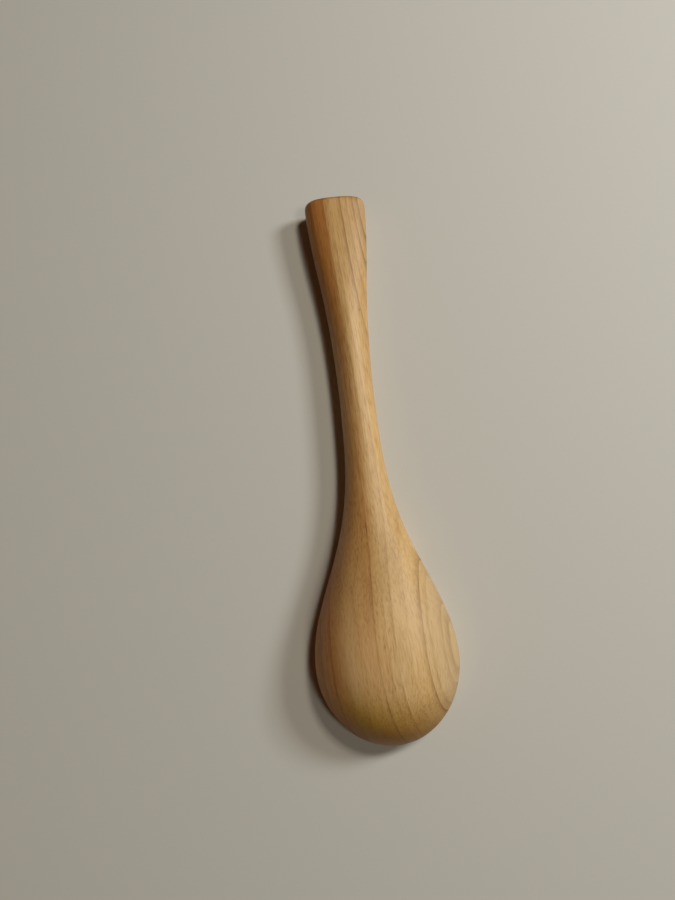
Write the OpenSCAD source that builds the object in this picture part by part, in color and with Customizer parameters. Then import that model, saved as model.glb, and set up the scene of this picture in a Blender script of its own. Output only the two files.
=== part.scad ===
// A one-piece carved wooden spoon, lying face down: the bowl opens towards -Z, and its rim
// stands on the plane Z = 0 with the end of the handle. The bowl's tip points to -Y and the
// handle to +Y. Lengths are in millimetres. A station is a distance along the spoon from
// the bowl's tip.

/* [Spoon] */
// Whole length, from the bowl's tip to the end of the handle
length = 180; // [150:5:220]
// Clearance under the middle of the handle
arch_h = 0.8; // [0:0.1:3]

/* [Bowl] */
// Width of the bowl at its widest
bowl_w = 44.5; // [38:0.5:55]
// Height of the bowl's back over the rim
bowl_h = 21.5; // [17:0.5:28]
// Distance from the tip to the widest point
tip_len = 25; // [20:0.5:30]
// How slowly the bowl runs out into the neck
bowl_fade = 35.3; // [28:0.1:42]
// Height of the widest line over the rim
lip_h = 3; // [2:0.5:5]
// How far the outside turns in below the widest line
lip_in = 1.2; // [0.8:0.1:2]

/* [Hollow] */
// Width of the rim, from the outside to the hollow
rim_w = 3.2; // [2.8:0.1:4]
// Thickness of the wood between the hollow and the bowl's back
floor_t = 4.5; // [3:0.5:7]
// Length of the hollow's back half, from the widest point towards the handle
heel_len = 32; // [26:1:34]
// Radius of the rim's inner edge
rim_r = 0.6; // [0.3:0.1:0.7]

/* [Neck and handle] */
// Width of the neck at its thinnest
neck_w = 11.2; // [9:0.1:14]
// Thickness of the neck
neck_h = 11.4; // [9:0.1:14]
// Width of the handle's end
end_w = 21.2; // [16:0.1:24]
// Thickness of the handle's end
end_h = 12; // [11:0.5:16]
// How slowly the neck widens into the end
end_fade = 38; // [30:1:45]
// Radius of the end's edge
end_r = 2.8; // [1:0.1:3.5]
// How sharp the soft ridge along the handle's back is, from 0 for a round back
ridge = 0.3; // [0:0.05:0.4]

/* [Hidden] */

hollow_h = bowl_h - floor_t;
// Where the ridge is sharpest, and how far it runs either way
ridge_at = length * 0.74;
ridge_fade = length * 0.14;
// The rim's plane ends a little past the hollow, and the underside is round this much later
plane_end = tip_len + heel_len + 5;
round_len = 23;
// The arch under the handle rises and falls over this length
arch_len = 40;
// A section's exponent: 2 is an ellipse, and the handle's end is squarer
round_section = 2;
end_section = 2.5;
end_section_fade = length * 0.15;
// Share of the half width that stays flat under the handle
least_flat = 0.03;

// Steps of the mesh
tip_steps = 15;
body_step = 2.6;
end_steps = 4;
back_steps = 13;
under_steps = 5;
hollow_points = 56;
hollow_steps = 11;
edge_steps = 2;
// The first section and the hollow's last one are small, but are not points
first_station = 0.02;
least_share = 0.02;
// How far the hollow's solid runs past the rim, so that it cuts right through
cut_past = 1;

function bell(distance, spread) = exp(-pow(distance / spread, 2));
function eased(t) = let (c = max(0, min(1, t))) c * c * (3 - 2 * c);
function quarter_round(t) = sqrt(max(0, 1 - pow(1 - t, 2)));
function power(x, p) = x <= 0 ? 0 : pow(x, p);

// A value that is `bowl` at the bowl, `neck` at the neck and `end` at the handle's end
function along(s, bowl, neck, end) =
    neck + (bowl - neck) * bell(max(0, s - tip_len), bowl_fade)
         + (end - neck) * bell(length - s, end_fade);

// The tip's rounding, from 0 at the tip to 1 at the widest point and past it
function tip_share(s) = s < tip_len ? quarter_round(s / tip_len) : 1;

// How far the end's rounded edge draws the section in
function end_inset(s) =
    let (over = max(0, s - (length - end_r))) end_r - sqrt(max(0, end_r * end_r - over * over));

// Half the width, and the heights of the widest line, the back and the underside
function half_w(s) = along(s, bowl_w, neck_w, end_w) / 2 * tip_share(s) - end_inset(s);
function widest_z(s) = along(s, lip_h, neck_h / 2, end_h / 2);
function back_z(s) =
    let (back = along(s, bowl_h, neck_h, end_h), widest = widest_z(s))
    widest + (back - widest) * tip_share(s) - end_inset(s);
function under_z(s) =
    s < lip_in ? lip_h * (1 - quarter_round(s / lip_in))
               : arch_h * eased((s - plane_end) / arch_len) * eased((length - s) / arch_len)
                 + end_inset(s);

// Half the width of the flat underneath: the whole rim at the bowl, and next to none at the neck
function flat_w(s) =
    let (share = 1 - 2 * lip_in / bowl_w,
         rim = s < lip_in ? 0
             : s < tip_len ? bowl_w / 2 * share * quarter_round((s - lip_in) / (tip_len - lip_in))
             : half_w(s) * share)
    max(least_flat * half_w(s), rim * (1 - eased((s - plane_end) / round_len)));

// The section's exponent: under 2 gives the back its ridge, and over 2 squares the end
function exponent(s) =
    round_section + (end_section - round_section) * bell(length - s, end_section_fade)
                  - ridge * bell(s - ridge_at, ridge_fade);

// One half of a section, from the middle of the back round to the middle underneath
function half_section(s) =
    let (w = half_w(s), widest = widest_z(s), back = back_z(s), under = under_z(s),
         flat = flat_w(s), p = 2 / exponent(s))
    concat(
        [for (i = [0 : back_steps]) let (a = 90 - 90 * i / back_steps)
            [w * power(cos(a), p), widest + (back - widest) * power(sin(a), p)]],
        [for (i = [1 : under_steps]) let (a = 90 * i / under_steps)
            [flat + (w - flat) * cos(a), widest - (widest - under) * sin(a)]],
        [[0, under]]);

// The whole section at a station, as a closed ring of points
function section(s) =
    let (half = half_section(s), last = len(half) - 1, y = s - length / 2)
    concat([for (p = half) [p[0], y, p[1]]],
           [for (i = [last - 1 : -1 : 1]) [-half[i][0], y, half[i][1]]]);

// The stations of the sections, close together where the outline turns fast
function stations() =
    let (straight = length - end_r - tip_len, n = round(straight / body_step))
    concat(
        [first_station],
        [for (i = [1 : tip_steps]) tip_len * (1 - cos(90 * i / tip_steps))],
        [for (i = [1 : n]) tip_len + straight * i / n],
        [for (i = [1 : end_steps]) length - end_r + end_r * sin(90 * i / end_steps)]);

// One level of the hollow: an egg of two half ellipses, shrunk to a share and grown by an offset
function hollow_level(share, grown, z) =
    [for (i = [0 : hollow_points - 1])
        let (a = 360 * i / hollow_points,
             reach = sin(a) < 0 ? tip_len - rim_w : heel_len)
        [((bowl_w / 2 - rim_w) * share + grown) * cos(a),
         tip_len - length / 2 + (reach * share + grown) * sin(a),
         z]];

// A solid through closed rings of equally many points
module skin(rings) {
    n = len(rings[0]);
    last = len(rings) - 1;
    sides = [for (k = [0 : last - 1], i = [0 : n - 1])
        let (a = k * n + i, b = k * n + (i + 1) % n)
        each [[a, a + n, b], [b, a + n, b + n]]];
    start_cap = [for (i = [0 : n - 1]) i];
    end_cap = [for (i = [n - 1 : -1 : 0]) last * n + i];
    polyhedron(points = [for (r = rings, p = r) p],
               faces = concat(sides, [start_cap, end_cap]), convexity = 6);
}

// The whole outside, before the bowl is hollowed
module blank() {
    skin([for (s = stations()) section(s)]);
}

// The hollow of the bowl, which rounds the rim's inner edge as it cuts
module hollow() {
    skin(concat(
        [hollow_level(1, rim_r, -cut_past)],
        [for (i = [0 : edge_steps]) let (a = 90 * i / edge_steps)
            hollow_level(1, rim_r * (1 - sin(a)), rim_r * (1 - cos(a)))],
        [for (i = [1 : hollow_steps - 1]) let (a = 90 * i / hollow_steps)
            hollow_level(cos(a), 0, rim_r + (hollow_h - rim_r) * sin(a))],
        [hollow_level(least_share, 0, hollow_h)]));
}

module spoon() {
    color("burlywood") difference() {
        blank();
        hollow();
    }
}

spoon();
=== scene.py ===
"""The looks of a carved wooden spoon that lies face down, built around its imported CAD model.

The spoon's own sizes and its grain are in millimetres, as a carver measures them. Everything that goes
into the scene is in metres, in the CAD model's frame: the bowl's tip points to -Y, the handle to +Y, and
the rim stands on Z = 0. A station is a distance along the spoon from the bowl's tip.
"""

import logging
import math
from collections.abc import Sequence
from dataclasses import dataclass, field
from enum import Enum
from typing import Any, NamedTuple

import bmesh
import bpy
from mathutils import Euler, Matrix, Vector, noise


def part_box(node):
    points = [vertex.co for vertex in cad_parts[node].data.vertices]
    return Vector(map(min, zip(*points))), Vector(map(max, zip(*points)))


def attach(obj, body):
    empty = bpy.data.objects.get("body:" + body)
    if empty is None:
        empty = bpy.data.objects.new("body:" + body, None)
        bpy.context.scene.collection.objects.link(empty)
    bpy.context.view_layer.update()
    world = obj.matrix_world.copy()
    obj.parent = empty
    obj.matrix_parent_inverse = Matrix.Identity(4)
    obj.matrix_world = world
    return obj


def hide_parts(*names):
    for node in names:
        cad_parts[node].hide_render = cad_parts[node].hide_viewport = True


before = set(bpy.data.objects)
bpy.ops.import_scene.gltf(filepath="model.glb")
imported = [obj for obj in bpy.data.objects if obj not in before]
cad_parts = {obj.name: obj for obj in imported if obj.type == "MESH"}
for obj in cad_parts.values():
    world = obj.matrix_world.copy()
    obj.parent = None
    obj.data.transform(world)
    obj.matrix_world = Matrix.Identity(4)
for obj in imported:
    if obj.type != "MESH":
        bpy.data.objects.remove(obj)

LOG = logging.getLogger("spoon")
MM = 0.001
# A ramp holds values up to 1, so it holds the rings' widths in units of this many millimetres
WIDTH_UNIT = 10.0
NODE = "spoon"
BODY = "root"


def linear(colour: str) -> tuple[float, float, float, float]:
    """Turns an sRGB colour into the linear one that shaders work in.

    Args:
        colour: The colour as #RRGGBB.

    Returns:
        Red, green, blue and an alpha of 1.
    """
    parts = [int(colour[i : i + 2], 16) / 255 for i in (1, 3, 5)]
    red, green, blue = (p / 12.92 if p <= 0.04045 else ((p + 0.055) / 1.055) ** 2.4 for p in parts)
    return red, green, blue, 1.0


def add(
    tree: bpy.types.NodeTree,
    kind: str,
    inputs: dict[int | str, Any] | Sequence[Any] = (),
    **settings: Any,
) -> bpy.types.Node:
    """Adds a node with its settings, its fixed inputs and its links.

    Args:
        tree: The node tree that gets the node.
        kind: The node's type, without the word that all shader nodes start with.
        inputs: A socket to link, a node whose first live output to link, or a value to set, for each
            input by its number or name, or for the first inputs in order.
        **settings: The node's own properties.

    Returns:
        The new node.
    """
    node = tree.nodes.new("ShaderNode" + kind)
    for name, value in settings.items():
        setattr(node, name, value)
    for key, value in inputs.items() if isinstance(inputs, dict) else enumerate(inputs):
        if isinstance(value, bpy.types.Node):
            value = next(socket for socket in value.outputs if socket.enabled)
        if isinstance(value, bpy.types.NodeSocket):
            tree.links.new(value, node.inputs[key])
        else:
            node.inputs[key].default_value = value
    return node


def eased(share: float) -> float:
    """Runs smoothly from 0 to 1 as the share does, and stays there outside."""
    share = max(0.0, min(1.0, share))
    return share * share * (3 - 2 * share)


def bell(distance: float, spread: float) -> float:
    """Is 1 at no distance and fades to nothing a few spreads away."""
    return math.exp(-((distance / spread) ** 2))


def quarter_round(share: float) -> float:
    """Climbs a quarter of a circle as the share goes from 0 to 1."""
    return math.sqrt(max(0.0, 1 - (1 - share) ** 2))


def fill_ramp(
    ramp: bpy.types.ColorRamp,
    stops: Sequence[tuple[float, Sequence[float]]],
    interpolation: str = "LINEAR",
) -> None:
    """Gives a ramp its stops.

    Args:
        ramp: A new ramp, which is changed.
        stops: Each stop's place and colour, the first at 0 and the last at 1.
        interpolation: How the colour runs between them.
    """
    ramp.interpolation = interpolation
    for index, (place, colour) in enumerate(stops):
        if 0 < index < len(stops) - 1:
            ramp.elements.new(place)
        ramp.elements[index].color = colour


class Tone(Enum):
    """The ways a patch's colour changes the wood's, named by the blend that does it."""

    PALER = "SCREEN"
    DEEPER = "MULTIPLY"


class GrowthRing(NamedTuple):
    """One year's boundary in the wood.

    Attributes:
        at: Where it lies across the grain, in millimetres from the middle of the spoon.
        handle: How dark its line is in the handle, from 0 to 1.
        bowl: How dark its line is in the bowl, from 0 to 1.
        band: How brown the wood grows that comes before it, from 0 to 1.
    """

    at: float
    handle: float
    bowl: float
    band: float


class RingPlace(NamedTuple):
    """Where each point lies in its growth ring, as nodes or an output of one.

    Attributes:
        passed: The share of the ring that has passed.
        since: The distance since the last boundary, in millimetres.
        until: The distance until the next boundary, in millimetres.
        mark: How dark the next boundary's line is.
        band: How brown the ring grows.
    """

    passed: bpy.types.Node
    since: bpy.types.Node
    until: bpy.types.Node
    mark: bpy.types.Node
    band: bpy.types.NodeSocket


class Cloud(NamedTuple):
    """Cloudy variation that is drawn out along the fibres.

    Attributes:
        size: Its size across the rings, along the fibres and around the pith, in millimetres.
        detail: How many finer layers it holds.
        roughness: How strong the finer layers are.
    """

    size: tuple[float, float, float]
    detail: float
    roughness: float


class Blemish(NamedTuple):
    """A pin knot, a dark fleck or a short fissure in the wood.

    Attributes:
        place: Where it lies across the rings, along the fibres and around the pith, in millimetres.
        width: How wide it is, in millimetres.
        length: How long it is, in millimetres.
        depth: How dark it is, from 0 to 1.
    """

    place: tuple[float, float, float]
    width: float
    length: float
    depth: float


class Patch(NamedTuple):
    """A broad, soft-edged area of paler or deeper colour, in the wood's own tone or as painted shade.

    Attributes:
        place: Where it lies across the rings, along the fibres and around the pith, in millimetres.
        size: Its reach in the same three directions, in millimetres.
        colour: The colour that is blended in.
        tone: Whether it makes the wood paler or deeper.
    """

    place: tuple[float, float, float]
    size: tuple[float, float, float]
    colour: str
    tone: Tone


@dataclass(frozen=True)
class SandedBirch:
    """Birch, carved, sanded smooth and left bare.

    The eye sees a pale honey wood with a satin face: thin brown lines where each year's dense late wood
    meets the next year's pale early wood, long faint streaks of pink and cream between them, short dark
    pores, and fine silky fibres that run the length of the spoon. All places and sizes are in
    millimetres of the log: across its rings, along its fibres and around its pith.
    """

    early: str = "#E5BB80"
    middle: str = "#D5A969"
    late: str = "#C19056"
    line: str = "#855F30"
    cream: str = "#F0CC92"
    pink: str = "#D39460"
    pore: str = "#6E4525"
    middle_stop: float = 0.45

    # The rings are sheets that lean over from upright and cross the spoon at a slight angle
    lean: float = 19.0
    skew: float = -2.9
    pith: float = 250.0
    rings: tuple[GrowthRing, ...] = (
        GrowthRing(-30.0, 0.2, 0.2, 0.2),
        GrowthRing(-25.5, 0.15, 0.15, 0.3),
        GrowthRing(-21.0, 0.15, 0.15, 0.2),
        GrowthRing(-17.0, 0.2, 0.3, 0.6),
        GrowthRing(-14.6, 0.1, 0.1, 0.3),
        GrowthRing(-12.9, 0.2, 0.3, 0.6),
        GrowthRing(-9.0, 0.1, 0.05, 0.1),
        GrowthRing(-4.4, 0.15, 0.05, 0.1),
        GrowthRing(0.2, 0.45, 0.05, 0.25),
        GrowthRing(1.6, 0.15, 0.5, 0.3),
        GrowthRing(4.6, 0.42, 0.1, 0.5),
        GrowthRing(6.6, 0.12, 0.3, 0.5),
        GrowthRing(10.1, 0.75, 0.05, 0.3),
        GrowthRing(12.0, 0.5, 0.05, 0.1),
        GrowthRing(13.8, 1.0, 1.0, 0.4),
        GrowthRing(15.2, 0.8, 0.2, 0.3),
        GrowthRing(17.9, 0.5, 0.28, 0.6),
        GrowthRing(18.9, 0.6, 0.35, 0.6),
        GrowthRing(22.5, 0.3, 0.3, 0.3),
        GrowthRing(27.5, 0.3, 0.3, 0.3),
        GrowthRing(31.0, 0.3, 0.3, 0.3),
    )
    # The rings wander by a share of a millimetre, as in straight-grained wood
    waver: Cloud = Cloud((22.0, 70.0, 22.0), 2.0, 0.4)
    waver_reach: float = 1.3
    ripple: Cloud = Cloud((3.0, 16.0, 3.0), 1.0, 0.5)
    ripple_reach: float = 0.2
    # Between these places along the fibres, the lines' strengths change from the bowl's to the handle's
    neck: tuple[float, float] = (-30.0, 15.0)

    # A line darkens slowly up to its boundary, ends five times as sharply, and fades here and there
    line_width: float = 0.4
    line_sharpness: float = 5.0
    fading: Cloud = Cloud((2.5, 32.0, 9.0), 2.0, 0.6)
    fading_span: tuple[float, float] = (0.35, 0.6)
    faintest: float = 0.45

    # The wood between two lines browns late in the year, and holds streaks and soft blotches
    browning: float = 1.6
    band_depth: float = 0.9
    pinkness: float = 0.22
    cloud_span: tuple[float, float] = (0.3, 0.7)
    streak: Cloud = Cloud((2.2, 80.0, 4.0), 5.0, 0.65)
    streak_depth: tuple[float, float] = (-0.3, 0.5)
    blotch: Cloud = Cloud((14.0, 26.0, 14.0), 2.0, 0.5)
    blotch_depth: float = 0.3

    # Real fibres are 0.03 mm across, which is too fine to show, so these are over ten times as coarse
    fibre: Cloud = Cloud((0.42, 4.5, 0.42), 3.0, 0.55)
    dark_fibres: float = 0.26
    dark_fibre_span: tuple[float, float] = (0.25, 0.5)
    silk: float = 0.55
    silk_span: tuple[float, float] = (0.35, 0.7)

    # Real pores are 0.1 mm across, and these are two to five times as wide, so that they show
    pore_spacing: tuple[float, float, float] = (0.9, 3.4, 0.9)
    pore_edge: tuple[float, float] = (0.1, 0.28)
    pore_rarity: float = 0.45
    pore_depth: float = 0.22
    blemish_edge: tuple[float, float] = (0.4, 1.3)
    blemishes: tuple[Blemish, ...] = (
        Blemish((9.4, 47.0, 6.8), 0.5, 0.7, 0.85),
        Blemish((1.1, -25.0, 14.6), 0.35, 4.5, 0.6),
        Blemish((2.8, -60.0, 21.2), 0.35, 1.2, 0.4),
        Blemish((-5.8, -51.0, 21.7), 0.35, 1.2, 0.35),
        Blemish((-1.6, -6.0, 9.5), 0.3, 2.5, 0.35),
        Blemish((-0.7, -12.0, 10.5), 0.3, 2.0, 0.3),
    )

    patch_edge: tuple[float, float] = (0.2, 1.2)
    patches: tuple[Patch, ...] = (
        Patch((-4.5, -62.0, 20.0), (11.0, 17.0, 40.0), "#A05A3A", Tone.PALER),
        Patch((4.5, -34.0, 18.0), (7.0, 17.0, 40.0), "#F3F0E6", Tone.DEEPER),
        # Painted shade: the bowl's low left, which faces away from the lamps, is yellowed
        Patch((-12.0, -82.0, 8.0), (20.0, 14.0, 30.0), "#F3EE98", Tone.DEEPER),
    )
    # Sapwood, on the bark's side, is greyer; that side faces the lamps, so the grey is partly a painted sheen
    sapwood_and_sheen: str = "#D0B892"
    sapwood_and_sheen_span: tuple[float, float] = (11.5, 17.0)
    sapwood_and_sheen_share: float = 0.45
    # The heart's side is browner, by a share that changes along the spoon; on the handle's left flank it is
    # partly painted shade
    heart_and_shade: str = "#D3AC7A"
    heart_and_shade_slant: float = -0.02
    heart_and_shade_span: tuple[float, float] = (4.4, 1.6)
    heart_and_shade_reach: tuple[tuple[float, float], ...] = (
        (-90.0, 0.1),
        (-62.0, 0.1),
        (-36.0, 0.6),
        (-8.0, 0.7),
        (12.0, 0.4),
        (30.0, 0.5),
        (50.0, 0.9),
        (90.0, 0.9),
    )
    # Painted shade: the bowl's left edge, on the heart's side and away from the lamps, is tinted a warm red
    painted_shade: str = "#F3C178"
    painted_shade_span: tuple[float, float] = (-7.0, -15.0)
    painted_shade_share: float = 0.6
    # It is duller where it is held
    held: str = "#F0E8DE"
    held_span: tuple[float, float] = (35.0, 80.0)
    # Wood that is cut across its fibres drinks the light; on the bowl's tip, which faces away from the lamps,
    # the darkening is partly painted shade
    end_grain_and_shade: str = "#C2AB62"
    end_grain_and_shade_span: tuple[float, float] = (0.27, 0.75)

    roughness: float = 0.47
    roughness_spread: tuple[float, float] = (-0.07, 0.09)
    ior: float = 1.5
    gloss: float = 0.4
    relief: float = 0.35
    relief_depth: float = 0.12
    pore_sink: float = 0.8

    def material(self) -> bpy.types.Material:
        """Builds the finish.

        Returns:
            The material, whose pattern is solid, as in real wood.
        """
        made = bpy.data.materials.new("sanded_birch")
        made.use_nodes = True
        tree = made.node_tree
        tree.nodes.clear()
        grain = self._grain(tree)
        ring = self._rings(tree, grain)
        fibre = self._cloud(tree, grain, self.fibre)
        pores = self._pores(tree, grain)
        colour = self._colour(tree, grain, ring, fibre)
        colour = self._patched(tree, grain, colour)
        line = self._line(tree, grain, ring)
        colour = add(tree, "Mix", {0: line, 6: colour, 7: linear(self.line)}, data_type="RGBA")
        colour = self._tinted(tree, grain, colour)
        colour = add(tree, "Mix", {0: pores, 6: colour, 7: linear(self.pore)}, data_type="RGBA")
        smoothest, roughest = (self.roughness + spread for spread in self.roughness_spread)
        rough = add(tree, "MapRange", (fibre, 0.0, 1.0, smoothest, roughest))
        height = add(tree, "Math", (pores, -self.pore_sink, fibre), operation="MULTIPLY_ADD")
        depth = self.relief_depth * MM
        bump = add(tree, "Bump", {"Height": height, "Strength": self.relief, "Distance": depth})
        shader = add(
            tree,
            "BsdfPrincipled",
            {
                "Base Color": colour,
                "Roughness": rough,
                "Normal": bump,
                "IOR": self.ior,
                "Specular IOR Level": self.gloss,
            },
        )
        add(tree, "OutputMaterial", {"Surface": shader})
        return made

    def _grain(self, tree: bpy.types.NodeTree) -> bpy.types.Node:
        """Gives each point's place in the log, in millimetres.

        Args:
            tree: The material's node tree.

        Returns:
            A node whose vector is across the rings, along the fibres and around the pith.
        """
        lean = Euler((0, math.radians(self.lean), 0)).to_matrix()
        turn = lean @ Euler((0, 0, math.radians(self.skew))).to_matrix()
        place = add(tree, "TexCoord").outputs["Object"]
        axes = [add(tree, "VectorMath", (place, row / MM), operation="DOT_PRODUCT") for row in turn]
        return add(tree, "CombineXYZ", axes)

    def _cloud(self, tree: bpy.types.NodeTree, grain: bpy.types.Node, cloud: Cloud) -> bpy.types.Node:
        """Draws cloudy variation out along the fibres.

        Args:
            tree: The material's node tree.
            grain: Each point's place in the log.
            cloud: The variation.

        Returns:
            A node whose value runs from 0 to 1.
        """
        place = add(tree, "VectorMath", (grain, [1 / s for s in cloud.size]), operation="MULTIPLY")
        return add(
            tree,
            "TexNoise",
            {"Vector": place, "Scale": 1.0, "Detail": cloud.detail, "Roughness": cloud.roughness},
        )

    def _rings(self, tree: bpy.types.NodeTree, grain: bpy.types.Node) -> RingPlace:
        """Places the growth rings, which are wide arcs round a pith far outside the spoon.

        Args:
            tree: The material's node tree.
            grain: Each point's place in the log.

        Returns:
            Where each point lies in its ring.
        """
        across, along, around = add(tree, "SeparateXYZ", (grain,)).outputs
        out = add(tree, "Math", (across, self.pith), operation="ADD")
        arm = add(tree, "CombineXYZ", {0: out, 2: around})
        bent = add(tree, "VectorMath", (arm,), operation="LENGTH")
        for cloud, reach in ((self.waver, self.waver_reach), (self.ripple, self.ripple_reach)):
            bent = add(tree, "Math", (self._cloud(tree, grain, cloud), reach, bent), operation="MULTIPLY_ADD")
        # The clouds' middle is a half, so together they push the rings out by half their reach
        offset = self.pith + (self.waver_reach + self.ripple_reach) / 2
        first, last = self.rings[0].at, self.rings[-1].at
        share = add(tree, "MapRange", {0: bent, 1: first + offset, 2: last + offset})
        count = len(self.rings) - 1
        numbers, facts = [], []
        for index, ring in enumerate(self.rings):
            following = self.rings[min(index + 1, count)]
            stop = (ring.at - first) / (last - first)
            width = (following.at - ring.at) / WIDTH_UNIT
            numbers.append((stop, (index / count,) * 4))
            facts.append((stop, (width, following.handle, following.band, following.bowl)))
        number = add(tree, "ValToRGB", (share,))
        fill_ramp(number.color_ramp, numbers)
        fact = add(tree, "ValToRGB", (share,))
        fill_ramp(fact.color_ramp, facts, "CONSTANT")
        year = add(tree, "Math", (number, float(count)), operation="MULTIPLY")
        passed = add(tree, "Math", (year,), operation="FRACT")
        width, handle, band = add(tree, "SeparateColor", (fact,)).outputs
        toward = add(tree, "MapRange", {0: along, 1: self.neck[0], 2: self.neck[1]})
        mark = add(tree, "Mix", {0: toward, 2: fact.outputs["Alpha"], 3: handle})
        whole = add(tree, "Math", (width, WIDTH_UNIT), operation="MULTIPLY")
        since = add(tree, "Math", (passed, whole), operation="MULTIPLY")
        until = add(tree, "Math", (whole, since), operation="SUBTRACT")
        return RingPlace(passed, since, until, mark, band)

    def _line(self, tree: bpy.types.NodeTree, grain: bpy.types.Node, ring: RingPlace) -> bpy.types.Node:
        """Draws each ring's late wood.

        Args:
            tree: The material's node tree.
            grain: Each point's place in the log.
            ring: Where each point lies in its ring.

        Returns:
            A node that is 1 on the darkest line.
        """
        sides = []
        for distance, steepness in ((ring.until, 1.0), (ring.since, self.line_sharpness)):
            scaled = add(tree, "Math", (distance, -steepness / self.line_width), operation="MULTIPLY")
            sides.append(add(tree, "Math", (scaled,), operation="EXPONENT"))
        both = add(tree, "Math", sides, operation="MAXIMUM")
        fading = self._cloud(tree, grain, self.fading)
        kept = add(tree, "MapRange", (fading, *self.fading_span, self.faintest, 1.0))
        strength = add(tree, "Math", (ring.mark, kept), operation="MULTIPLY")
        return add(tree, "Math", (both, strength), operation="MULTIPLY", use_clamp=True)

    def _colour(
        self, tree: bpy.types.NodeTree, grain: bpy.types.Node, ring: RingPlace, fibre: bpy.types.Node
    ) -> bpy.types.Node:
        """Mixes the wood's colour between its ring lines.

        Args:
            tree: The material's node tree.
            grain: Each point's place in the log.
            ring: Where each point lies in its ring.
            fibre: Fine fibres.

        Returns:
            The colour's node.
        """
        age = add(tree, "Math", (ring.passed, self.browning), operation="POWER")
        dark = add(tree, "Math", (age, ring.band), operation="MULTIPLY")
        streak = self._cloud(tree, grain, self.streak)
        stripe = add(tree, "MapRange", (streak, *self.cloud_span, *self.streak_depth))
        tone = add(tree, "Math", (dark, self.band_depth, stripe), operation="MULTIPLY_ADD")
        blotch = self._cloud(tree, grain, self.blotch)
        blotch = add(tree, "MapRange", (blotch, *self.cloud_span, 0.0, self.blotch_depth))
        tone = add(tree, "Math", (tone, blotch), operation="ADD")
        ramp = add(tree, "ValToRGB", (tone,))
        places = ((0.0, self.early), (self.middle_stop, self.middle), (1.0, self.late))
        fill_ramp(ramp.color_ramp, [(place, linear(shade)) for place, shade in places])
        warm = add(tree, "Math", (dark, self.pinkness), operation="MULTIPLY")
        coarse = add(tree, "MapRange", (fibre, *self.dark_fibre_span, self.dark_fibres, 0.0))
        silk = add(tree, "MapRange", (fibre, *self.silk_span, 0.0, self.silk))
        colour = ramp
        for share, shade in ((warm, self.pink), (coarse, self.line), (silk, self.cream)):
            colour = add(tree, "Mix", {0: share, 6: colour, 7: linear(shade)}, data_type="RGBA")
        return colour

    def _patched(
        self, tree: bpy.types.NodeTree, grain: bpy.types.Node, colour: bpy.types.Node
    ) -> bpy.types.Node:
        """Lays the sapwood, partly a painted sheen, and the patches, one of them painted shade, over the
        wood.

        Args:
            tree: The material's node tree.
            grain: Each point's place in the log.
            colour: The wood's colour.

        Returns:
            The new colour's node.
        """
        across = add(tree, "SeparateXYZ", (grain,)).outputs[0]
        # The sapwood's grey, on the side towards the lamps, is partly a painted sheen
        span = (across, *self.sapwood_and_sheen_span, 0.0, self.sapwood_and_sheen_share)
        sap_and_sheen = add(tree, "MapRange", span, interpolation_type="SMOOTHSTEP")
        colour = add(tree, "Mix", {0: sap_and_sheen, 6: colour, 7: linear(self.sapwood_and_sheen)}, data_type="RGBA")
        # One of the patches is painted shade, on the bowl's low left
        for patch in self.patches:
            inside = self._inside(tree, grain, patch.place, patch.size, self.patch_edge, 1.0)
            layer = {0: inside, 6: colour, 7: linear(patch.colour)}
            colour = add(tree, "Mix", layer, data_type="RGBA", blend_type=patch.tone.value)
        return colour

    def _tinted(
        self, tree: bpy.types.NodeTree, grain: bpy.types.Node, colour: bpy.types.Node
    ) -> bpy.types.Node:
        """Browns the heart's side and the end grain, partly as painted shade, paints shade on the bowl's left
        edge, and dulls the held end.

        Args:
            tree: The material's node tree.
            grain: Each point's place in the log.
            colour: The wood's colour.

        Returns:
            The new colour's node.
        """
        across, along, _ = add(tree, "SeparateXYZ", (grain,)).outputs
        # Browner on the left: partly the heart's colour, partly painted shade on the handle's left flank,
        # away from the lamps
        slanted = add(tree, "Math", (along, self.heart_and_shade_slant, across), operation="MULTIPLY_ADD")
        side = add(
            tree, "MapRange", (slanted, *self.heart_and_shade_span, 0.0, 1.0), interpolation_type="SMOOTHSTEP"
        )
        start, stop = self.heart_and_shade_reach[0][0], self.heart_and_shade_reach[-1][0]
        reach = add(tree, "ValToRGB", (add(tree, "MapRange", {0: along, 1: start, 2: stop}),))
        shares = [((y - start) / (stop - start), (s, s, s, 1.0)) for y, s in self.heart_and_shade_reach]
        fill_ramp(reach.color_ramp, shares, "B_SPLINE")
        heart_and_shade = add(tree, "Math", (side, reach), operation="MULTIPLY")
        # Painted shade: a warm red on the bowl's left edge, which faces away from the lamps
        edge = (across, *self.painted_shade_span, 0.0, self.painted_shade_share)
        painted_shade = add(tree, "MapRange", edge, interpolation_type="SMOOTHSTEP")
        held = add(tree, "MapRange", (along, *self.held_span, 0.0, 1.0), interpolation_type="SMOOTHSTEP")
        # Darker and yellower where the surface faces along the spoon: end grain, and partly painted shade on
        # the bowl's tip
        face = add(tree, "TexCoord").outputs["Normal"]
        facing = add(tree, "VectorMath", (face, (0.0, 1.0, 0.0)), operation="DOT_PRODUCT")
        facing = add(tree, "Math", (facing,), operation="ABSOLUTE")
        cut_and_shade = add(tree, "MapRange", (facing, *self.end_grain_and_shade_span, 0.0, 1.0))
        tints = ((heart_and_shade, self.heart_and_shade), (painted_shade, self.painted_shade), (held, self.held), (cut_and_shade, self.end_grain_and_shade))
        for share, tint in tints:
            layer = {0: share, 6: colour, 7: linear(tint)}
            colour = add(tree, "Mix", layer, data_type="RGBA", blend_type="MULTIPLY")
        return colour

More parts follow.
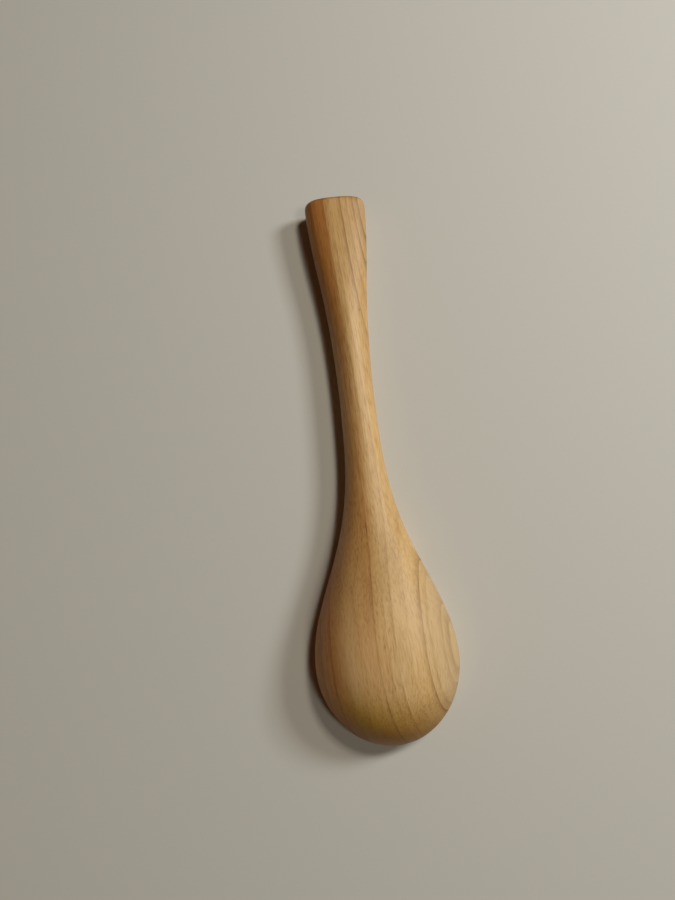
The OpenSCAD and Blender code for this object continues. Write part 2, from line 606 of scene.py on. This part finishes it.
    def _inside(
        self,
        tree: bpy.types.NodeTree,
        grain: bpy.types.Node,
        place: tuple[float, float, float],
        size: tuple[float, float, float],
        edge: tuple[float, float],
        share: float,
    ) -> bpy.types.Node:
        """Marks an oval area in the wood.

        Args:
            tree: The material's node tree.
            grain: Each point's place in the log.
            place: The area's middle.
            size: Its reach across, along and around, in millimetres.
            edge: Where its edge starts and stops fading, as shares of its reach.
            share: The value in its middle.

        Returns:
            A node whose value falls to 0 outside the area.
        """
        away = add(tree, "VectorMath", (grain, place), operation="SUBTRACT")
        away = add(tree, "VectorMath", (away, [1 / s for s in size]), operation="MULTIPLY")
        away = add(tree, "VectorMath", (away,), operation="LENGTH")
        return add(tree, "MapRange", (away, *edge, share, 0.0), interpolation_type="SMOOTHSTEP")

    def _pores(self, tree: bpy.types.NodeTree, grain: bpy.types.Node) -> bpy.types.Node:
        """Scatters short dark pores, which run with the fibres, and lays in the blemishes.

        Args:
            tree: The material's node tree.
            grain: Each point's place in the log.

        Returns:
            A node that is 1 where the wood is darkest.
        """
        place = add(tree, "VectorMath", (grain, [1 / s for s in self.pore_spacing]), operation="MULTIPLY")
        cell = add(tree, "TexVoronoi", {"Vector": place, "Scale": 1.0, "Randomness": 1.0})
        close = add(tree, "MapRange", (cell.outputs["Distance"], *self.pore_edge, 1.0, 0.0))
        own = add(tree, "SeparateColor", (cell.outputs["Color"],)).outputs[0]
        depth = add(tree, "MapRange", (own, self.pore_rarity, 1.0, 0.0, self.pore_depth))
        dark = add(tree, "Math", (close, depth), operation="MULTIPLY")
        for spot in self.blemishes:
            # It is four times as deep as it is wide, so that the carved face cuts it
            size = (spot.width / 2, spot.length / 2, 2 * spot.width)
            inside = self._inside(tree, grain, spot.place, size, self.blemish_edge, spot.depth)
            dark = add(tree, "Math", (dark, inside), operation="MAXIMUM")
        return dark


@dataclass(frozen=True)
class MattPaint:
    """A plain pale floor, painted matt, so that only the spoon draws the eye."""

    colour: str = "#D5D1C8"
    roughness: float = 0.75

    def material(self) -> bpy.types.Material:
        """Builds the finish.

        Returns:
            The material.
        """
        made = bpy.data.materials.new("matt_paint")
        made.use_nodes = True
        tree = made.node_tree
        tree.nodes.clear()
        paint = {"Base Color": linear(self.colour), "Roughness": self.roughness}
        add(tree, "OutputMaterial", {"Surface": add(tree, "BsdfPrincipled", paint)})
        return made


@dataclass(frozen=True)
class SpoonCurves:
    """The curves that the spoon's sections follow, in millimetres.

    The first three sizes come from the CAD model's box. The others repeat its driving dimensions.
    """

    length: float
    bowl_width: float
    bowl_height: float
    tip_length: float = 25.0
    bowl_fade: float = 35.3
    lip_height: float = 3.0
    lip_inset: float = 1.2
    rim_width: float = 3.2
    rim_radius: float = 0.6
    floor_thickness: float = 4.5
    heel_length: float = 32.0
    neck_width: float = 11.2
    neck_height: float = 11.4
    end_width: float = 21.2
    end_height: float = 12.0
    end_fade: float = 38.0
    end_radius: float = 2.8
    end_crown: float = 0.3
    crown_length: float = 10.0
    arch_height: float = 0.8
    arch_length: float = 40.0
    plane_margin: float = 5.0
    round_length: float = 23.0
    least_flat: float = 0.03
    ridge: float = 0.3
    ridge_station: float = 133.0
    ridge_fade: float = 25.0
    end_squareness: float = 0.8
    square_fade: float = 27.0

    @property
    def plane_end(self) -> float:
        """The station where the rim's plane ends."""
        return self.tip_length + self.heel_length + self.plane_margin

    @property
    def hollow_height(self) -> float:
        """The depth of the bowl's hollow."""
        return self.bowl_height - self.floor_thickness

    @property
    def hollow_half(self) -> float:
        """Half the width of the hollow."""
        return self.bowl_width / 2 - self.rim_width

    @property
    def middle(self) -> float:
        """The Y of the bowl's widest place, and of the hollow's middle."""
        return self.tip_length - self.length / 2

    def hollow_reach(self, y: float) -> float:
        """How far the hollow reaches from its middle, towards the side where Y lies."""
        return self.heel_length if y > self.middle else self.tip_length - self.rim_width

    def along(self, station: float, bowl: float, neck: float, end: float) -> float:
        """Blends a size from the bowl through the neck to the handle's end.

        Args:
            station: The place along the spoon.
            bowl: The size at the bowl.
            neck: The size at the neck.
            end: The size at the handle's end.

        Returns:
            The size at the station.
        """
        at_bowl = bell(max(0.0, station - self.tip_length), self.bowl_fade)
        at_end = bell(self.length - station, self.end_fade)
        return neck + (bowl - neck) * at_bowl + (end - neck) * at_end

    def tip_share(self, station: float) -> float:
        """Rounds the tip: 0 at the tip and 1 from the widest point on."""
        return quarter_round(station / self.tip_length) if station < self.tip_length else 1.0

    def end_inset(self, station: float) -> float:
        """How far the end's rounded edge draws the section in."""
        over = max(0.0, station - (self.length - self.end_radius))
        return self.end_radius - math.sqrt(max(0.0, self.end_radius**2 - over**2))

    def half_width(self, station: float) -> float:
        """Half the spoon's width."""
        width = self.along(station, self.bowl_width, self.neck_width, self.end_width)
        return width / 2 * self.tip_share(station) - self.end_inset(station)

    def widest_height(self, station: float) -> float:
        """The height of the widest line."""
        return self.along(station, self.lip_height, self.neck_height / 2, self.end_height / 2)

    def back_height(self, station: float) -> float:
        """The height of the back's middle."""
        back = self.along(station, self.bowl_height, self.neck_height, self.end_height)
        widest = self.widest_height(station)
        return widest + (back - widest) * self.tip_share(station) - self.end_inset(station)

    def under_height(self, station: float) -> float:
        """The height of the underside's middle."""
        if station < self.lip_inset:
            return self.lip_height * (1 - quarter_round(station / self.lip_inset))
        rise = eased((station - self.plane_end) / self.arch_length)
        fall = eased((self.length - station) / self.arch_length)
        return self.arch_height * rise * fall + self.end_inset(station)

    def flat_width(self, station: float) -> float:
        """Half the width of the flat underneath."""
        share = 1 - 2 * self.lip_inset / self.bowl_width
        if station < self.lip_inset:
            rim = 0.0
        elif station < self.tip_length:
            reach = (station - self.lip_inset) / (self.tip_length - self.lip_inset)
            rim = self.bowl_width / 2 * share * quarter_round(reach)
        else:
            rim = self.half_width(station) * share
        flat = rim * (1 - eased((station - self.plane_end) / self.round_length))
        return max(self.least_flat * self.half_width(station), flat)

    def exponent(self, station: float) -> float:
        """The section's exponent: 2 is an ellipse, less gives the back a ridge, more squares it."""
        squarer = self.end_squareness * bell(self.length - station, self.square_fade)
        return 2 + squarer - self.ridge * bell(station - self.ridge_station, self.ridge_fade)

    def place(self, station: float) -> float:
        """The Y of a station, drawn back a little towards the end to leave room for its crown."""
        drawn = self.end_crown * eased((station - self.length + self.crown_length) / self.crown_length)
        return station - self.length / 2 - drawn


class LoopMesh:
    """A mesh that grows from loops of points, each joined to the one before."""

    def __init__(self) -> None:
        """Starts with no points and no faces."""
        self.points: list[Vector] = []
        self.faces: list[tuple[int, ...]] = []

    def loop(self, points: Sequence[Sequence[float]]) -> list[int]:
        """Adds a loop of points.

        Args:
            points: The points, in millimetres.

        Returns:
            Their numbers in the mesh.
        """
        start = len(self.points)
        self.points.extend(Vector(p) * MM for p in points)
        return list(range(start, len(self.points)))

    def bridge(self, one: Sequence[int], other: Sequence[int], closed: bool = True) -> None:
        """Joins two loops of equally many points with quads.

        Args:
            one: The first loop's numbers.
            other: The second loop's numbers.
            closed: Whether the last point joins the first.
        """
        for i in range(len(one) if closed else len(one) - 1):
            j = (i + 1) % len(one)
            self.faces.append((one[i], one[j], other[j], other[i]))

    def fan(self, ring: Sequence[int], point: Sequence[float]) -> None:
        """Closes a small loop on a middle point.

        Args:
            ring: The loop's numbers.
            point: The middle point, in millimetres.
        """
        (middle,) = self.loop([point])
        for i, number in enumerate(ring):
            self.faces.append((number, ring[(i + 1) % len(ring)], middle))


class Spoke(NamedTuple):
    """A direction from the middle of the hollow.

    Attributes:
        across: Its share across the spoon.
        along: Its share along the spoon.
        reach: How far the hollow reaches along the spoon on its side, in millimetres.
    """

    across: float
    along: float
    reach: float


@dataclass
class CarvedSpoon:
    """The whole spoon: bowl, neck and handle from one billet.

    The outside is a row of sections across the spoon. Under the bowl the sections stay open, and loops
    run from their edge over the rim and down into the hollow.
    """

    curves: SpoonCurves
    finish: SandedBirch
    tip_steps: int = 22
    body_step: float = 2.0
    end_steps: int = 6
    back_steps: int = 18
    under_steps: int = 5
    across_steps: int = 4
    first_open: int = 5
    rim_steps: int = 3
    edge_steps: int = 3
    hollow_steps: int = 14
    cap_shares: tuple[float, ...] = (0.8, 0.55, 0.3, 0.1)
    # A hand never sands quite true: shallow dips of this depth, this far apart, never stand proud
    dip_depth: float = 0.14
    dip_length: float = 16.0
    dip_width: float = 7.0
    # The hollow keeps the faint scallops of a hook knife
    scallop_depth: float = 0.12
    scallop_length: float = 5.0
    scallop_rise: float = 3.0
    # The hollow's surface is found with this much room round its mouth
    hollow_slack: float = 1.01
    stations: list[float] = field(init=False)

    def __post_init__(self) -> None:
        """Works out where the sections stand, close together where the outline turns fast."""
        c = self.curves
        straight = c.length - c.end_radius - c.tip_length
        count = round(straight / self.body_step)
        quarter = math.pi / 2
        self.stations = [
            *(
                c.tip_length * (1 - math.cos(quarter * i / self.tip_steps))
                for i in range(1, self.tip_steps + 1)
            ),
            *(c.tip_length + straight * i / count for i in range(1, count + 1)),
            *(
                c.length - c.end_radius + c.end_radius * math.sin(quarter * i / self.end_steps)
                for i in range(1, self.end_steps + 1)
            ),
        ]

    def half_section(self, station: float) -> list[tuple[float, float]]:
        """Shapes one side of a section.

        Args:
            station: Where the section stands.

        Returns:
            Points of X and Z, from the middle of the back to the edge of the flat underneath.
        """
        c = self.curves
        half, widest = c.half_width(station), c.widest_height(station)
        back, under, flat = c.back_height(station), c.under_height(station), c.flat_width(station)
        power = 2 / c.exponent(station)
        points = []
        for i in range(self.back_steps + 1):
            angle = math.pi / 2 * (1 - i / self.back_steps)
            across, up = max(0.0, math.cos(angle)), max(0.0, math.sin(angle))
            points.append((half * across**power, widest + (back - widest) * up**power))
        for i in range(1, self.under_steps + 1):
            angle = math.pi / 2 * i / self.under_steps
            across, down = math.cos(angle), math.sin(angle)
            points.append((flat + (half - flat) * across, widest - (widest - under) * down))
        return points

    def outside_loop(self, mesh: LoopMesh, station: float, closed: bool) -> list[int]:
        """Adds a section, from the left edge of the flat over the back to the right edge.

        Args:
            mesh: The mesh that gets it.
            station: Where it stands.
            closed: Whether it goes on across the flat underneath.

        Returns:
            The section's numbers in the mesh.
        """
        half = self.half_section(station)
        y = self.curves.place(station)
        points = [(-x, y, z) for x, z in reversed(half)] + [(x, y, z) for x, z in half[1:]]
        if closed:
            edge, low = half[-1]
            steps = self.across_steps
            points += [(edge * (1 - 2 * i / steps), y, low) for i in range(1, steps)]
        return mesh.loop(points)

    def build(self) -> bpy.types.Object:
        """Builds the spoon's mesh.

        Returns:
            The spoon, in place and shaded smooth.
        """
        mesh = LoopMesh()
        c = self.curves
        last_open = max(i for i, s in enumerate(self.stations) if s <= c.plane_end)
        loops = [
            self.outside_loop(mesh, station, not self.first_open < i < last_open)
            for i, station in enumerate(self.stations)
        ]
        for i, (one, other) in enumerate(zip(loops, loops[1:])):
            if self.first_open <= i < last_open:
                edge = 2 * (self.back_steps + self.under_steps) + 1
                mesh.bridge(one[:edge], other[:edge], closed=False)
            else:
                mesh.bridge(one, other)
        mesh.fan(loops[0], (0, c.place(0), c.lip_height))
        self._close_end(mesh, loops[-1])
        self._open_bowl(mesh, loops[self.first_open : last_open + 1])
        return self._object(mesh)

    def _close_end(self, mesh: LoopMesh, ring: list[int]) -> None:
        """Crowns the handle's sawn end.

        Args:
            mesh: The mesh that gets the end.
            ring: The last section's numbers.
        """
        c = self.curves
        middle = Vector((0, c.place(c.length), c.end_height / 2))
        outline = [mesh.points[i] / MM - middle for i in ring]
        previous = ring
        for share in self.cap_shares:
            crown = Vector((0, c.end_crown * (1 - share**2), 0))
            current = mesh.loop([middle + p * share + crown for p in outline])
            mesh.bridge(previous, current)
            previous = current
        mesh.fan(previous, middle + Vector((0, c.end_crown, 0)))

    def _open_bowl(self, mesh: LoopMesh, loops: list[list[int]]) -> None:
        """Runs loops over the rim and down the hollow.

        Args:
            mesh: The mesh that gets them.
            loops: The sections that the bowl opens through, whose first and last are closed.
        """
        c = self.curves
        right = 2 * (self.back_steps + self.under_steps)
        boundary = [loop[right] for loop in loops]
        boundary += loops[-1][right + 1 :]
        boundary += [loop[0] for loop in reversed(loops)]
        boundary += reversed(loops[0][right + 1 :])
        outline = [mesh.points[i] / MM for i in boundary]
        spokes = [self._spoke(point) for point in outline]
        edge = self._hollow_loop(spokes, 1, c.rim_radius, 0)
        levels = [
            [a.lerp(b, i / self.rim_steps) for a, b in zip(outline, edge)]
            for i in range(1, self.rim_steps + 1)
        ]
        for i in range(1, self.edge_steps + 1):
            angle = math.pi / 2 * i / self.edge_steps
            grown, height = c.rim_radius * (1 - math.sin(angle)), c.rim_radius * (1 - math.cos(angle))
            levels.append(self._hollow_loop(spokes, 1, grown, height))
        depth = c.hollow_height - c.rim_radius
        for i in range(1, self.hollow_steps):
            angle = math.pi / 2 * i / self.hollow_steps
            height = c.rim_radius + depth * math.sin(angle)
            levels.append(self._hollow_loop(spokes, math.cos(angle), 0, height))
        previous = boundary
        for points in levels:
            current = mesh.loop(points)
            mesh.bridge(previous, current)
            previous = current
        mesh.fan(previous, (0, c.middle, c.hollow_height))

    def _spoke(self, point: Vector) -> Spoke:
        """Points from the hollow's middle towards a point of the outline.

        Args:
            point: The point, in millimetres.

        Returns:
            The spoke.
        """
        c = self.curves
        reach = c.hollow_reach(point.y)
        angle = math.atan2((point.y - c.middle) / reach, point.x / c.hollow_half)
        return Spoke(math.cos(angle), math.sin(angle), reach)

    def _hollow_loop(
        self, spokes: Sequence[Spoke], share: float, grown: float, height: float
    ) -> list[Vector]:
        """Draws a loop of the hollow at one height.

        Args:
            spokes: The directions of its points.
            share: Its size, as a share of the hollow's mouth.
            grown: How much it is grown beyond that, in millimetres.
            height: Its height.

        Returns:
            Its points.
        """
        c = self.curves
        return [
            Vector((
                (c.hollow_half * share + grown) * spoke.across,
                c.middle + (spoke.reach * share + grown) * spoke.along,
                height,
            ))
            for spoke in spokes
        ]

    def _object(self, mesh: LoopMesh) -> bpy.types.Object:
        """Turns the loops into a smooth solid and works it by hand.

        Args:
            mesh: The loops.

        Returns:
            The spoon.
        """
        data = bpy.data.meshes.new("carved_spoon")
        form = bmesh.new()
        points = [form.verts.new(p) for p in mesh.points]
        for numbers in mesh.faces:
            form.faces.new([points[i] for i in numbers])
        bmesh.ops.remove_doubles(form, verts=form.verts, dist=1e-7)
        bmesh.ops.recalc_face_normals(form, faces=form.faces)
        form.to_mesh(data)
        form.free()
        spoon = bpy.data.objects.new("carved_spoon", data)
        bpy.context.scene.collection.objects.link(spoon)
        smooth = spoon.modifiers.new("smooth", "SUBSURF")
        smooth.levels = smooth.render_levels = 1
        graph = bpy.context.evaluated_depsgraph_get()
        spoon.data = bpy.data.meshes.new_from_object(spoon.evaluated_get(graph))
        spoon.modifiers.clear()
        self._work_by_hand(spoon.data)
        spoon.data.polygons.foreach_set("use_smooth", [True] * len(spoon.data.polygons))
        return spoon

    def _work_by_hand(self, data: bpy.types.Mesh) -> None:
        """Lays shallow dips over the outside and scallops in the hollow.

        Args:
            data: The spoon's mesh, which is changed.
        """
        normals = [v.normal.copy() for v in data.vertices]
        for vertex, normal in zip(data.vertices, normals):
            x, y, z = (p / MM for p in vertex.co)
            if self.in_hollow(x, y, z, normal.z):
                place = Vector([p / self.scallop_length for p in (x, y, z)])
                depth = self.scallop_depth * min(1.0, z / self.scallop_rise)
            else:
                place = Vector((x / self.dip_width, y / self.dip_length, z / self.dip_width))
                depth = self.dip_depth * eased(z / self.curves.lip_height)
            vertex.co -= normal * depth * (0.5 + 0.5 * noise.noise(place)) * MM

    def in_hollow(self, x: float, y: float, z: float, lift: float) -> bool:
        """Says whether a point is on the hollow's surface.

        Args:
            x: The point's X.
            y: The point's Y.
            z: The point's Z.
            lift: The normal's Z.

        Returns:
            Whether it is.
        """
        c = self.curves
        egg = math.hypot(x / c.hollow_half, (y - c.middle) / c.hollow_reach(y))
        return lift < 0 and egg < self.hollow_slack and z > c.rim_radius

    def dress(self, spoon: bpy.types.Object) -> None:
        """Gives the spoon its finish and its place on the CAD body.

        Args:
            spoon: The spoon.
        """
        spoon.data.materials.append(self.finish.material())
        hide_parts(NODE)
        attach(spoon, BODY)


class Lamp(NamedTuple):
    """A soft box over the spoon.

    Attributes:
        name: What it is.
        azimuth: Its direction round the spoon, in degrees from +X towards +Y.
        elevation: Its height over the floor, in degrees.
        distance: How far away it is, in metres.
        size: The side of its square face, in metres.
        power: Its power, in watts.
        colour: The colour of its light.
    """

    name: str
    azimuth: float
    elevation: float
    distance: float
    size: float
    power: float
    colour: str


@dataclass(frozen=True)
class Studio:
    """A plain pale floor, soft boxes on the right and a camera that looks down from the bowl's side."""

    floor: MattPaint
    floor_size: float = 6.0
    ambient: str = "#FFB98A"
    ambient_strength: float = 0.035
    lamps: tuple[Lamp, ...] = (
        Lamp("key", 42.0, 58.0, 0.9, 0.14, 2.0, "#FFF9EA"),
        Lamp("side", 22.0, 37.0, 1.0, 0.22, 4.5, "#F7FCFF"),
        Lamp("low", -35.0, 63.0, 1.0, 0.2, 1.35, "#FFFEF0"),
    )
    # The camera stands over the left of the bowl, and leans towards the handle
    camera_place: tuple[float, float, float] = (-13.1, -43.9, 220.3)
    camera_lean: float = 12.0
    camera_turn: float = -6.14
    lens: float = 27.04
    sensor: float = 36.0

    def build(self) -> None:
        """Builds the floor, the light and the camera."""
        self._lay_floor()
        self._light()
        self._place_camera()

    def _lay_floor(self) -> None:
        """Lays the floor under the spoon."""
        half = self.floor_size / 2
        data = bpy.data.meshes.new("floor")
        corners = [(-half, -half, 0), (half, -half, 0), (half, half, 0), (-half, half, 0)]
        data.from_pydata(corners, [], [(0, 1, 2, 3)])
        data.materials.append(self.floor.material())
        floor = bpy.data.objects.new("floor", data)
        bpy.context.scene.collection.objects.link(floor)

    def _light(self) -> None:
        """Hangs the soft boxes and fills the room with weak warm light."""
        for lamp in self.lamps:
            data = bpy.data.lights.new(lamp.name, "AREA")
            data.size = lamp.size
            data.energy = lamp.power
            data.color = linear(lamp.colour)[:3]
            turn, rise = math.radians(lamp.azimuth), math.radians(lamp.elevation)
            level = math.cos(rise)
            away = Vector((math.cos(turn) * level, math.sin(turn) * level, math.sin(rise)))
            light = bpy.data.objects.new(lamp.name, data)
            light.location = away * lamp.distance
            light.rotation_euler = (-away).to_track_quat("-Z", "Y").to_euler()
            bpy.context.scene.collection.objects.link(light)
        world = bpy.data.worlds.new("room")
        world.use_nodes = True
        tree = world.node_tree
        tree.nodes.clear()
        fill = {"Color": linear(self.ambient), "Strength": self.ambient_strength}
        add(tree, "OutputWorld", {"Surface": add(tree, "Background", fill)})
        bpy.context.scene.world = world
        bpy.context.scene.view_settings.view_transform = "Standard"

    def _place_camera(self) -> None:
        """Places the camera and makes it the scene's own."""
        data = bpy.data.cameras.new("camera")
        data.lens = self.lens
        data.sensor_width = self.sensor
        data.clip_start = 0.01
        camera = bpy.data.objects.new("camera", data)
        camera.location = Vector(self.camera_place) * MM
        camera.rotation_euler = (math.radians(self.camera_lean), 0, math.radians(self.camera_turn))
        bpy.context.scene.collection.objects.link(camera)
        bpy.context.scene.camera = camera


def main() -> None:
    low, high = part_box(NODE)
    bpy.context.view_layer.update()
    width, length, height = ((b - a) / MM for a, b in zip(low, high))
    carving = CarvedSpoon(SpoonCurves(length, width, height), SandedBirch())
    spoon = carving.build()
    carving.dress(spoon)
    LOG.info("%s: %d points, %d faces", spoon.name, len(spoon.data.vertices), len(spoon.data.polygons))
    Studio(MattPaint()).build()
    LOG.info("studio: floor, lamps and camera")


if __name__ == "__main__":
    logging.basicConfig(level=logging.INFO)
    main()
